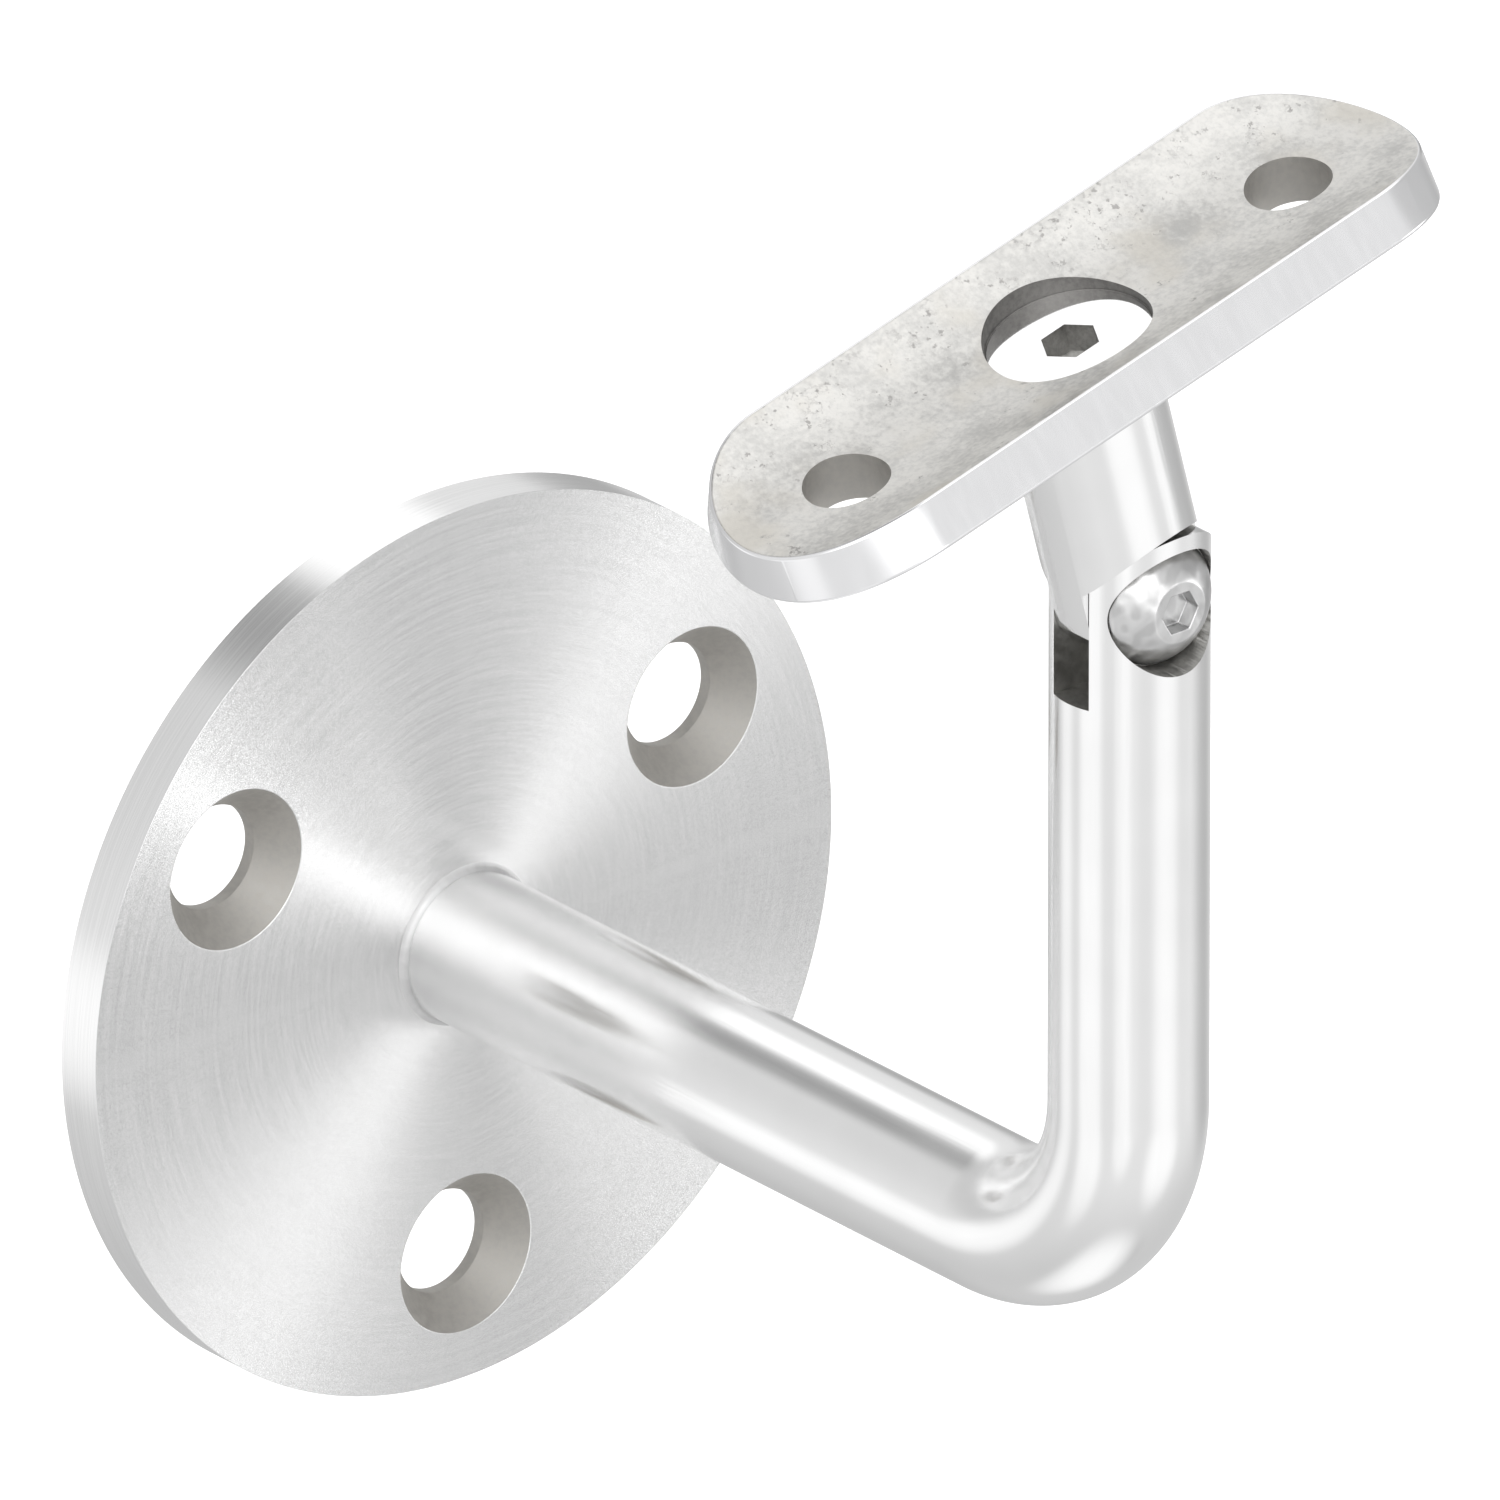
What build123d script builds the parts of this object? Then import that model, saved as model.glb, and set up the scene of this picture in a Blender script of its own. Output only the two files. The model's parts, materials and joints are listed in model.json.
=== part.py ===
from build123d import *
from math import asin, cos, radians, sin, sqrt, tan
import os

# Wall bracket for a round handrail, in millimetres. X runs out from the wall, Y along the
# rail and Z up. The origin is the middle of the wall plate's back face.

# Wall plate, a flat disc
plate_radius = 36.0
plate_thickness = 4.0
plate_edge_break = 0.25
wall_hole_count = 3
wall_hole_circle_radius = 25.75
wall_hole_first_angle = 30.0
wall_hole_radius = 4.15
countersink_radius = 6.4
countersink_angle = 75.0

# Arm, a round bar bent once and forked at its upper end
bar_radius = 6.0
arm_reach = 80.6
bend_radius = 15.0
spigot_clearance = 0.05
front_weld_leg = 0.5
back_weld_leg = 1.2
ear_radius = 6.25
slot_width = 4.0
slot_depth = 7.65

# Hinge between the arm's fork and the post's tongue
pivot_height = 56.65
post_lean = 15.0
tongue_side_clearance = 0.05
tongue_tip_below_pivot = 4.7
shoulder_clearance = 0.3
pivot_hole_clearance = 0.08

# Hinge screw, button head with a hexagon socket
pivot_screw_radius = 2.5
pivot_screw_tip_recess = 0.6
pivot_head_radius = 4.75
pivot_head_height = 2.75
pivot_head_rim = 0.6
pivot_head_crown_radius = 2.3
pivot_head_recess = 0.1
pivot_head_side_clearance = 0.25
pivot_socket_width = 3.0
pivot_socket_depth = 1.6

# Saddle plate, a flat bar with round ends bent to the rail's radius
rail_radius = 21.2
saddle_height = 23.3
saddle_thickness = 4.0
saddle_width = 20.0
saddle_length = 64.5
saddle_end_length = 11.2
saddle_edge_break = 0.3
saddle_hole_spacing = 44.2
saddle_hole_radius = 3.35
saddle_screw_well_radius = 6.45

# Saddle screw, countersunk head with a hexagon socket
saddle_screw_radius = 3.0
saddle_screw_hole_clearance = 0.1
saddle_screw_length = 12.0
saddle_screw_depth = 0.73
saddle_screw_head_radius = 6.3
saddle_screw_head_edge = 0.1
saddle_screw_head_angle = 90.0
saddle_screw_point_chamfer = 0.6
saddle_socket_width = 4.0
saddle_socket_depth = 2.4
tapped_hole_extra_depth = 1.5
tapped_hole_mouth = 0.5

# Small gaps between pieces that are screwed or seated on one another
thread_gap = 0.02
seat_gap = 0.02

# Reach of the cutting shapes past the surfaces that they cut
cut_margin = 1.0

low = (Align.CENTER, Align.CENTER, Align.MIN)
high = (Align.CENTER, Align.CENTER, Align.MAX)
cutter_width = 2 * (bar_radius + cut_margin)
tongue_thickness = slot_width - 2 * tongue_side_clearance
shoulder_radius = ear_radius + shoulder_clearance
pivot_head_seat = bar_radius - pivot_head_recess - pivot_head_height
saddle_axis_height = saddle_height + rail_radius


def facing_out(shape):
    """Turns a shape built up along Z so that it points along X, out from the wall."""
    return Rot(0, 90, 0) * shape


def at_pivot(shape):
    """Moves a shape built round the hinge axis to the fork."""
    return Pos(arm_reach, 0, pivot_height) * shape


def leaning(shape):
    """Places a shape built upright over the hinge axis at the post's lean."""
    return at_pivot(Rot(post_lean, 0, 0) * shape)


def wall_plate():
    disc = facing_out(Cylinder(plate_radius, plate_thickness, align=low))
    disc = chamfer(disc.edges().filter_by(GeomType.CIRCLE), plate_edge_break)
    sink_depth = (countersink_radius - wall_hole_radius) / tan(radians(countersink_angle / 2))
    hole = Cylinder(wall_hole_radius, plate_thickness, align=low)
    hole += Pos(0, 0, plate_thickness - sink_depth) * Cone(
        wall_hole_radius, countersink_radius, sink_depth, align=low
    )
    for number in range(wall_hole_count):
        angle = wall_hole_first_angle + number * 360 / wall_hole_count
        y = wall_hole_circle_radius * cos(radians(angle))
        z = wall_hole_circle_radius * sin(radians(angle))
        disc -= Pos(0, y, z) * facing_out(hole)
    bore_radius = bar_radius + spigot_clearance
    bore = Cylinder(bore_radius, plate_thickness, align=low)
    bore += Cone(bar_radius + back_weld_leg, bar_radius, back_weld_leg, align=low)
    return disc - facing_out(bore)


def arm():
    top = pivot_height + ear_radius
    path = FilletPolyline((0, 0, 0), (arm_reach, 0, 0), (arm_reach, 0, top), radius=bend_radius)
    bar = sweep(Plane.YZ * Circle(bar_radius), path=path)
    # The fork's top is round about the hinge axis
    crown = Box(cutter_width, cutter_width, cutter_width, align=low)
    crown -= facing_out(Cylinder(ear_radius, cutter_width))
    bar -= at_pivot(crown)
    slot = Box(slot_width, cutter_width, slot_depth + cutter_width, align=low)
    bar -= at_pivot(Pos(0, 0, -slot_depth) * slot)
    pocket = Cylinder(pivot_head_radius + pivot_head_side_clearance, bar_radius, align=low)
    bar -= at_pivot(Pos(pivot_head_seat, 0, 0) * facing_out(pocket))
    clear_hole = Cylinder(pivot_screw_radius + pivot_hole_clearance, bar_radius, align=low)
    bar -= at_pivot(facing_out(clear_hole))
    tapped_hole = Cylinder(pivot_screw_radius + thread_gap, bar_radius + cut_margin, align=low)
    return bar - at_pivot(Rot(0, -90, 0) * tapped_hole)


def weld_ring(start, leg):
    """A ring of three-cornered section on the bar, with its flat foot at x = start."""
    section = Polyline(
        (start, 0, bar_radius), (start + leg, 0, bar_radius), (start, 0, bar_radius + leg),
        close=True,
    )
    return revolve(make_face(section), axis=Axis.X)


def hinge_post():
    bar = Pos(0, 0, -bar_radius) * Cylinder(bar_radius, bar_radius + saddle_height, align=low)
    # The top is hollowed to the saddle plate's underside
    under_radius = rail_radius + saddle_thickness + seat_gap
    bar -= Pos(0, 0, saddle_axis_height) * Rot(90, 0, 0) * Cylinder(under_radius, cutter_width)
    # The shoulders beside the tongue are hollowed to clear the fork's round top
    beside = Box(cutter_width, cutter_width, cutter_width, align=high)
    beside += facing_out(Cylinder(shoulder_radius, cutter_width))
    between = Box(tongue_thickness, 2 * cutter_width, 2 * cutter_width)
    bar -= beside - between
    # The tongue has a full round end
    past_end = Box(cutter_width, cutter_width, cutter_width, align=high)
    past_end -= facing_out(Cylinder(bar_radius, cutter_width))
    bar -= Pos(0, 0, bar_radius - tongue_tip_below_pivot) * past_end
    bar -= facing_out(Cylinder(pivot_screw_radius + pivot_hole_clearance, cutter_width))
    # The tapped hole opens into a short cone that also clears the saddle screw's head
    top = saddle_height - saddle_thickness - seat_gap
    shank_end = saddle_height - saddle_screw_depth - saddle_screw_length
    hole_radius = saddle_screw_radius + thread_gap
    bottom = shank_end - tapped_hole_extra_depth
    bar -= Pos(0, 0, bottom) * Cylinder(hole_radius, saddle_height - bottom, align=low)
    mouth = tapped_hole_mouth + cut_margin
    bar -= Pos(0, 0, top - tapped_hole_mouth) * Cone(
        hole_radius, hole_radius + mouth, mouth, align=low
    )
    return leaning(bar)


def hinge_screw():
    seat = pivot_head_seat + seat_gap
    crown = pivot_head_seat + pivot_head_height
    tip = pivot_screw_tip_recess - bar_radius
    profile = Polyline(
        (tip, 0, 0), (tip, 0, pivot_screw_radius), (seat, 0, pivot_screw_radius),
        (seat, 0, pivot_head_radius), (seat + pivot_head_rim, 0, pivot_head_radius),
    )
    dome = ThreePointArc(
        (seat + pivot_head_rim, 0, pivot_head_radius),
        dome_middle(seat + pivot_head_rim, crown),
        (crown, 0, pivot_head_crown_radius),
    )
    closing = Polyline((crown, 0, pivot_head_crown_radius), (crown, 0, 0), (tip, 0, 0))
    solid = revolve(make_face([profile, dome, closing]), axis=Axis.X)
    return at_pivot(solid - facing_out(socket(pivot_socket_width, pivot_socket_depth, crown)))


def dome_middle(low_x, high_x):
    """The middle point of the head's dome, an arc centred on the screw's axis."""
    rise = high_x - low_x
    centre = (pivot_head_crown_radius**2 - pivot_head_radius**2 + rise**2) / (2 * rise)
    radius = sqrt(pivot_head_radius**2 + centre**2)
    across = (pivot_head_radius + pivot_head_crown_radius) / 2
    return (low_x + centre + sqrt(radius**2 - across**2), 0, across)


def socket(width, depth, top):
    """A hexagon socket with a drilled bottom, sunk from the height given as top."""
    hexagon = extrude(RegularPolygon(width / 2, 6, major_radius=False), depth)
    bottom_depth = width / 2 * tan(radians(30))
    bottom = Pos(0, 0, -bottom_depth) * Cone(0, width / 2, bottom_depth, align=low)
    return Pos(0, 0, top - depth) * (hexagon + bottom)


def saddle_outline(depth):
    """The plate's outline on a level plane that lies the given depth below the rail's axis.

    The side faces point at the rail's axis, so the outline's width grows with the depth.
    """
    half_width = depth * tan(asin(saddle_width / 2 / rail_radius))
    end_centre = saddle_length / 2 - saddle_end_length
    edges = [
        EllipticalCenterArc((0, end_centre), half_width, saddle_end_length, 0, arc_size=180),
        Line((-half_width, end_centre), (-half_width, -end_centre)),
        EllipticalCenterArc((0, -end_centre), half_width, saddle_end_length, 180, arc_size=180),
        Line((half_width, -end_centre), (half_width, end_centre)),
    ]
    return Pos(0, 0, saddle_axis_height - depth) * make_face(edges)


def saddle_plate():
    outer_radius = rail_radius + saddle_thickness
    length = saddle_length + 2 * cut_margin
    shell = Cylinder(outer_radius, length) - Cylinder(rail_radius, length)
    shell = Pos(0, 0, saddle_axis_height) * Rot(90, 0, 0) * shell
    edge_depth = sqrt(rail_radius**2 - (saddle_width / 2) ** 2)
    block = loft(
        [saddle_outline(edge_depth - cut_margin), saddle_outline(outer_radius + cut_margin)],
        ruled=True,
    )
    plate = shell & block
    rims = [edge for edge in plate.edges() if edge.length > 2 * saddle_thickness]
    plate = chamfer(rims, saddle_edge_break)
    hole = Cylinder(saddle_hole_radius, 4 * saddle_thickness)
    for end in (1, -1):
        plate -= Pos(0, end * saddle_hole_spacing / 2, saddle_height) * hole
    plate -= screw_seat()
    return leaning(plate)


def screw_seat():
    """The well above the saddle screw's head, with the conical seat and hole below it."""
    slope = tan(radians(saddle_screw_head_angle / 2))
    rim = saddle_height - saddle_screw_depth - saddle_screw_head_edge - seat_gap
    top = rim + (saddle_screw_well_radius - saddle_screw_head_radius) / slope
    cone_depth = saddle_screw_well_radius / slope
    well = Pos(0, 0, top) * Cylinder(saddle_screw_well_radius, saddle_thickness, align=low)
    well += Pos(0, 0, top - cone_depth) * Cone(0, saddle_screw_well_radius, cone_depth, align=low)
    hole_radius = saddle_screw_radius + saddle_screw_hole_clearance
    return well + Pos(0, 0, top) * Cylinder(hole_radius, 2 * saddle_thickness, align=high)


def saddle_screw():
    top = saddle_height - saddle_screw_depth
    rim = top - saddle_screw_head_edge
    neck = rim - (saddle_screw_head_radius - saddle_screw_radius) / tan(
        radians(saddle_screw_head_angle / 2)
    )
    tip = top - saddle_screw_length
    point = saddle_screw_point_chamfer
    section = Polyline(
        (0, 0, top), (saddle_screw_head_radius, 0, top), (saddle_screw_head_radius, 0, rim),
        (saddle_screw_radius, 0, neck), (saddle_screw_radius, 0, tip + point),
        (saddle_screw_radius - point, 0, tip), (0, 0, tip),
        close=True,
    )
    solid = revolve(make_face(section), axis=Axis.Z)
    return leaning(solid - socket(saddle_socket_width, saddle_socket_depth, top))


nodes = {
    "wall_plate": wall_plate(),
    "arm": arm(),
    "front_weld": weld_ring(plate_thickness, front_weld_leg),
    "back_weld": weld_ring(0, back_weld_leg),
    "hinge_screw": hinge_screw(),
    "hinge_post": hinge_post(),
    "saddle_plate": saddle_plate(),
    "saddle_screw": saddle_screw(),
}

os.makedirs("parts", exist_ok=True)
for name, solid in nodes.items():
    export_step(solid, f"parts/{name}.step")
    print(name, "volume", round(solid.volume, 2))
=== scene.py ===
import bpy
import json
from math import asin, atan2, cos, degrees, hypot, pi, radians, sin, sqrt, tan
from mathutils import Matrix, Vector


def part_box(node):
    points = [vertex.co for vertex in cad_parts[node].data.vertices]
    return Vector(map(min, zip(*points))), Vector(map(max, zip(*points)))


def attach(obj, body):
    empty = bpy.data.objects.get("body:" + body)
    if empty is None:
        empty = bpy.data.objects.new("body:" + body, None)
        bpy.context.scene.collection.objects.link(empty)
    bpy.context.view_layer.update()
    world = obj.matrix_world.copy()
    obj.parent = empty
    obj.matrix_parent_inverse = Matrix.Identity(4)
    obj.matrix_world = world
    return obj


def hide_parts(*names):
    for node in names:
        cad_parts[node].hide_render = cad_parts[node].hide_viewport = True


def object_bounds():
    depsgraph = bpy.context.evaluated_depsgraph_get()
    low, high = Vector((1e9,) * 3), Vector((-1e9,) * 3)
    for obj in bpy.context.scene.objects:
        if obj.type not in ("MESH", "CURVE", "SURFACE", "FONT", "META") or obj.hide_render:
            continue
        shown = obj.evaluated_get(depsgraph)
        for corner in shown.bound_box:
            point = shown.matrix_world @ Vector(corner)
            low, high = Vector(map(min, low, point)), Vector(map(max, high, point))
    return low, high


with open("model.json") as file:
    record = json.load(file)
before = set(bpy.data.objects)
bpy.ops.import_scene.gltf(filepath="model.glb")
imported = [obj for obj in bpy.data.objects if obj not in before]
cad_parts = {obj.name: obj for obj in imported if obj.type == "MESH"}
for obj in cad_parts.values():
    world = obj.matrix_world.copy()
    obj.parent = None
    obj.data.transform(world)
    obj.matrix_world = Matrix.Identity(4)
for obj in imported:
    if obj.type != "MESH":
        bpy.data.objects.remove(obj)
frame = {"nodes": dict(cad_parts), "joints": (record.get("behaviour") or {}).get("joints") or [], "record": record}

cadLow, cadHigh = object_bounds()
mm = 0.001  # every size below is written as a number of these

# What the frame says about the bracket
mounts = {mount["name"]: mount for mount in frame["record"]["mounts"]}
pivot = Vector(frame["joints"][0]["pos_m"])
postUp = Vector(mounts["rail_cradle"]["axis"]).normalized()
postLean = atan2(-postUp.y, postUp.z)
headPlace = Matrix.Translation(pivot) @ Matrix.Rotation(postLean, 4, "X")
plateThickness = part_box("wall_plate")[1].x
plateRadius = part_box("wall_plate")[1].y
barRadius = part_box("arm")[1].y
troughHeight = (Vector(mounts["rail_cradle"]["pos_m"]) - pivot).length
print("frame read, lean", round(degrees(postLean), 2))


# Modelling tools

def pick(piece):
    bpy.ops.object.select_all(action="DESELECT")
    piece.select_set(True)
    bpy.context.view_layer.objects.active = piece


def primitive(kind, name, **settings):
    bpy.ops.object.select_all(action="DESELECT")
    getattr(bpy.ops.mesh, f"primitive_{kind}_add")(**settings)
    piece = bpy.context.object
    piece.name = piece.data.name = name
    bpy.ops.object.transform_apply(location=True, rotation=True, scale=True)
    return piece


def rod(name, start, end, radius, endRadius=None, sides=128):
    start, end = Vector(start), Vector(end)
    along = end - start
    return primitive(
        "cone", name, vertices=sides, radius1=radius, radius2=radius if endRadius is None else endRadius,
        depth=along.length, location=(start + end) / 2, rotation=along.to_track_quat("Z", "Y").to_euler(),
    )


def block(name, low, high):
    low, high = Vector(low), Vector(high)
    return primitive("cube", name, size=1, location=(low + high) / 2, scale=high - low)


axes = {"X": Vector((1, 0, 0)), "-X": Vector((-1, 0, 0)), "Z": Vector((0, 0, 1))}
over = 1 * mm  # how far a cutting shape runs past the surface that it cuts


def combine(piece, tool, operation="DIFFERENCE"):
    pick(piece)
    modifier = piece.modifiers.new(operation.lower(), "BOOLEAN")
    modifier.operation, modifier.object, modifier.solver = operation, tool, "EXACT"
    bpy.ops.object.modifier_apply(modifier=modifier.name)
    bpy.data.objects.remove(tool)


def turned(name, outline, sides=128, ring=False):
    # Round about Z, through pairs of radius and height; a ring's last pair is its first
    radius, height = outline[0]
    bpy.ops.object.select_all(action="DESELECT")
    bpy.ops.mesh.primitive_circle_add(
        vertices=sides, radius=radius, location=(0, 0, height), fill_type="NOTHING" if ring else "NGON"
    )
    piece = bpy.context.object
    piece.name = piece.data.name = name
    bpy.ops.object.transform_apply(location=True, rotation=True, scale=True)
    bpy.ops.object.mode_set(mode="EDIT")
    bpy.ops.mesh.select_all(action="SELECT")
    for nextRadius, nextHeight in outline[1:]:
        bpy.ops.mesh.extrude_region_move(TRANSFORM_OT_translate={"value": (0, 0, nextHeight - height)})
        share = nextRadius / radius
        bpy.ops.transform.resize(value=(share, share, 1), center_override=(0, 0, nextHeight))
        radius, height = nextRadius, nextHeight
    tidyMesh()
    bpy.ops.object.mode_set(mode="OBJECT")
    return piece


def tidyMesh():
    bpy.ops.mesh.select_all(action="SELECT")
    bpy.ops.mesh.remove_doubles(threshold=0.001 * mm)
    bpy.ops.mesh.normals_make_consistent(inside=False)


def bore(piece, outline, at, toward="Z", sides=128):
    # Cuts a turned shape whose Z points along X or Z and whose foot is at the given point
    tool = turned("bore", outline, sides)
    turn = axes["Z"].rotation_difference(axes[toward]).to_matrix().to_4x4()
    tool.data.transform(Matrix.Translation(at) @ turn)
    combine(piece, tool)


def softenEdges(piece, width, segments=3, sharperThan=30):
    pick(piece)
    modifier = piece.modifiers.new("edges", "BEVEL")
    modifier.width, modifier.segments = width, segments
    modifier.limit_method, modifier.angle_limit = "ANGLE", radians(sharperThan)
    modifier.use_clamp_overlap = True
    bpy.ops.object.modifier_apply(modifier=modifier.name)


def finishPiece(piece, node, body, smoothTo=35):
    pick(piece)
    bpy.ops.object.mode_set(mode="EDIT")
    tidyMesh()
    bpy.ops.object.mode_set(mode="OBJECT")
    bpy.ops.object.shade_smooth_by_angle(angle=radians(smoothTo))
    modifier = piece.modifiers.new("flat faces", "WEIGHTED_NORMAL")
    modifier.keep_sharp = True
    bpy.ops.object.modifier_apply(modifier=modifier.name)
    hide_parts(node)
    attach(piece, body)
    print("modelled", piece.name, len(piece.data.polygons))
    return piece


# Wall plate

plateSizes = {
    "edge": 0.05 * mm,
    "firstHole": 30,
    "sinkRadius": 6.4 * mm,
    "sinkAngle": 75,
    "holeEdge": 0.06 * mm,
    "boreRadius": 6.05 * mm,
    "backChamfer": 1.2 * mm,
}


def wallHolePlaces():
    holes = mounts["wall_holes"]["dims"]
    radius, step = holes["pcd_mm"] * mm / 2, 360 / holes["count"]
    angles = [radians(plateSizes["firstHole"] + number * step) for number in range(holes["count"])]
    return [Vector((0, radius * cos(angle), radius * sin(angle))) for angle in angles]


def makeWallPlate():
    size = plateSizes
    holeRadius = mounts["wall_holes"]["dims"]["hole_r_mm"] * mm
    plate = rod("wallPlate", (0, 0, 0), (plateThickness, 0, 0), plateRadius, sides=288)
    softenEdges(plate, size["edge"], 4)
    slope = tan(radians(size["sinkAngle"] / 2))
    sinkFoot = plateThickness - (size["sinkRadius"] - holeRadius) / slope
    sink = [
        (holeRadius, -over), (holeRadius, sinkFoot),
        (size["sinkRadius"] + over * slope, plateThickness + over),
    ]
    for place in wallHolePlaces():
        bore(plate, sink, place, "X", 96)
    chamfer, boreRadius = size["backChamfer"], size["boreRadius"]
    bore(plate, [
        (barRadius + chamfer + over, -over), (boreRadius, chamfer - boreRadius + barRadius),
        (boreRadius, plateThickness + over),
    ], (0, 0, 0), "X")
    softenEdges(plate, size["holeEdge"], 2)
    return finishPiece(plate, "wall_plate", "bracket")


# Arm

armSizes = {
    "bendRadius": 15 * mm,
    "earRadius": 6.25 * mm,
    "slotWidth": 4 * mm,
    "slotDepth": 7.65 * mm,
    "pocketRadius": 5 * mm,
    "pocketSeat": 3.15 * mm,
    "clearHole": 2.58 * mm,
    "tappedHole": 2.52 * mm,
    "edge": 0.12 * mm,
    "roundness": 0.01 * mm,
    "alignment": 0.99,
}


def makeArm():
    size = armSizes
    bend = size["bendRadius"]
    top = pivot.z + size["earRadius"]
    bpy.ops.object.select_all(action="DESELECT")
    bpy.ops.mesh.primitive_circle_add(
        vertices=192, radius=barRadius, fill_type="NGON", rotation=(0, pi / 2, 0)
    )
    arm = bpy.context.object
    arm.name = arm.data.name = "bentBar"
    bpy.ops.object.transform_apply(location=True, rotation=True, scale=True)
    bpy.ops.object.mode_set(mode="EDIT")
    bpy.ops.mesh.select_all(action="SELECT")
    bpy.ops.mesh.extrude_region_move(TRANSFORM_OT_translate={"value": (pivot.x - bend, 0, 0)})
    bpy.ops.mesh.spin(steps=72, angle=pi / 2, center=(pivot.x - bend, 0, bend), axis=(0, 1, 0))
    bpy.ops.mesh.extrude_region_move(TRANSFORM_OT_translate={"value": (0, 0, top - bend)})
    tidyMesh()
    bpy.ops.object.mode_set(mode="OBJECT")

    x, z, wide = pivot.x, pivot.z, 2 * barRadius
    crown = block("crown", (x - wide, -wide, z), (x + wide, wide, z + wide))
    combine(crown, rod("round", (x - 2 * wide, 0, z), (x + 2 * wide, 0, z), size["earRadius"], sides=256))
    combine(arm, crown)
    half = size["slotWidth"] / 2
    combine(arm, block("slot", (x - half, -wide, z - size["slotDepth"]), (x + half, wide, z + wide)))
    bore(arm, [
        (size["clearHole"], 0), (size["clearHole"], size["pocketSeat"]),
        (size["pocketRadius"], size["pocketSeat"]), (size["pocketRadius"], wide),
    ], pivot, "X")
    bore(arm, [(size["tappedHole"], 0), (size["tappedHole"], wide)], pivot, "-X", 64)
    softenEdges(arm, size["edge"], 3)
    noteBarPlace(arm)
    arm = finishPiece(arm, "arm", "bracket")
    roundNormals(arm)
    return arm


def noteBarPlace(arm):
    # Each point's place across the bar and along its bent middle line, for the polishing marks
    bend, run = armSizes["bendRadius"], pivot.x - armSizes["bendRadius"]
    marks = arm.data.attributes.new("barPlace", "FLOAT_VECTOR", "POINT")
    for vertex, mark in zip(arm.data.vertices, marks.data):
        x, y, z = vertex.co
        past, below = x - run, bend - z
        if past < 0:
            mark.vector = (z, y, x)
        elif below < 0:
            mark.vector = (bend - past, y, run + bend * pi / 2 - below)
        else:
            mark.vector = (bend - hypot(past, below), y, run + bend * atan2(past, below))


def roundNormals(arm):
    # The cuts leave long thin faces, so what is round takes its shading from the true round shape
    size = armSizes
    near, aligned = size["roundness"], size["alignment"]
    bend, run = size["bendRadius"], pivot.x - size["bendRadius"]
    mesh = arm.data
    normals = [corner.vector.copy() for corner in mesh.corner_normals]
    for face in mesh.polygons:
        for corner in face.loop_indices:
            place = mesh.vertices[mesh.loops[corner].vertex_index].co
            past, below = place.x - run, bend - place.z
            if past < 0:
                middle = Vector((place.x, 0, 0))
            elif below < 0:
                middle = Vector((pivot.x, 0, place.z))
            else:
                share = bend / hypot(past, below)
                middle = Vector((run + past * share, 0, bend - below * share))
            sides = [(place - middle, barRadius)]
            if place.z > pivot.z:
                sides.append((Vector((0, place.y, place.z - pivot.z)), size["earRadius"]))
            for outward, radius in sides:
                facing = outward.normalized()
                if abs(outward.length - radius) < near and facing.dot(face.normal) > aligned:
                    normals[corner] = facing
    mesh.normals_split_custom_set(normals)


# Seams round the arm

weldSizes = {
    "frontLeg": 0.5 * mm,
    "backLeg": 1.2 * mm,
    "low": 0.2,
    "far": 0.55,
}


def makeFrontWeld():
    # Ground hollow, through two points given as shares of its leg
    leg, low, far = (weldSizes[name] for name in ("frontLeg", "low", "far"))
    ring = turned("frontWeld", [
        (barRadius, 0), (barRadius + leg, 0), (barRadius + far * leg, low * leg),
        (barRadius + low * leg, far * leg), (barRadius, leg), (barRadius, 0),
    ], 192, True)
    ring.data.transform(Matrix.Translation((plateThickness, 0, 0)) @ Matrix.Rotation(pi / 2, 4, "Y"))
    return finishPiece(ring, "front_weld", "bracket", smoothTo=60)


def makeBackWeld():
    leg = weldSizes["backLeg"]
    ring = turned("backWeld", [
        (barRadius, 0), (barRadius, leg), (barRadius + leg, 0), (barRadius, 0),
    ], 192, True)
    ring.data.transform(Matrix.Rotation(pi / 2, 4, "Y"))
    return finishPiece(ring, "back_weld", "bracket")


# Hinge screw, modelled upright with its tip down and laid along X

hingeScrewSizes = {
    "seat": 3.17 * mm,
    "top": 5.8 * mm,
    "tip": -5.4 * mm,
    "shankRadius": 2.5 * mm,
    "headRadius": 4.88 * mm,
    "rim": 0.25 * mm,
    "crownRadius": 2.3 * mm,
    "socketWidth": 3 * mm,
    "socketDepth": 1.3 * mm,
    "point": 0.4 * mm,
    "crownSteps": 12,
    "edge": 0.12 * mm,
}
drillSizes = {"share": 0.96, "slope": 30, "tip": 0.01 * mm}


def hexSocket(piece, width, depth, top, drilled=True):
    flat, foot = width / 2, top - depth
    combine(piece, rod("socket", (0, 0, foot), (0, 0, top + over), flat / cos(radians(30)), sides=6))
    if not drilled:
        return
    drillRadius = drillSizes["share"] * flat
    point = foot - drillRadius * tan(radians(drillSizes["slope"]))
    bore(piece, [
        (drillSizes["tip"], point), (drillRadius, foot), (drillRadius, foot + depth / 4),
    ], (0, 0, 0), sides=48)


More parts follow.
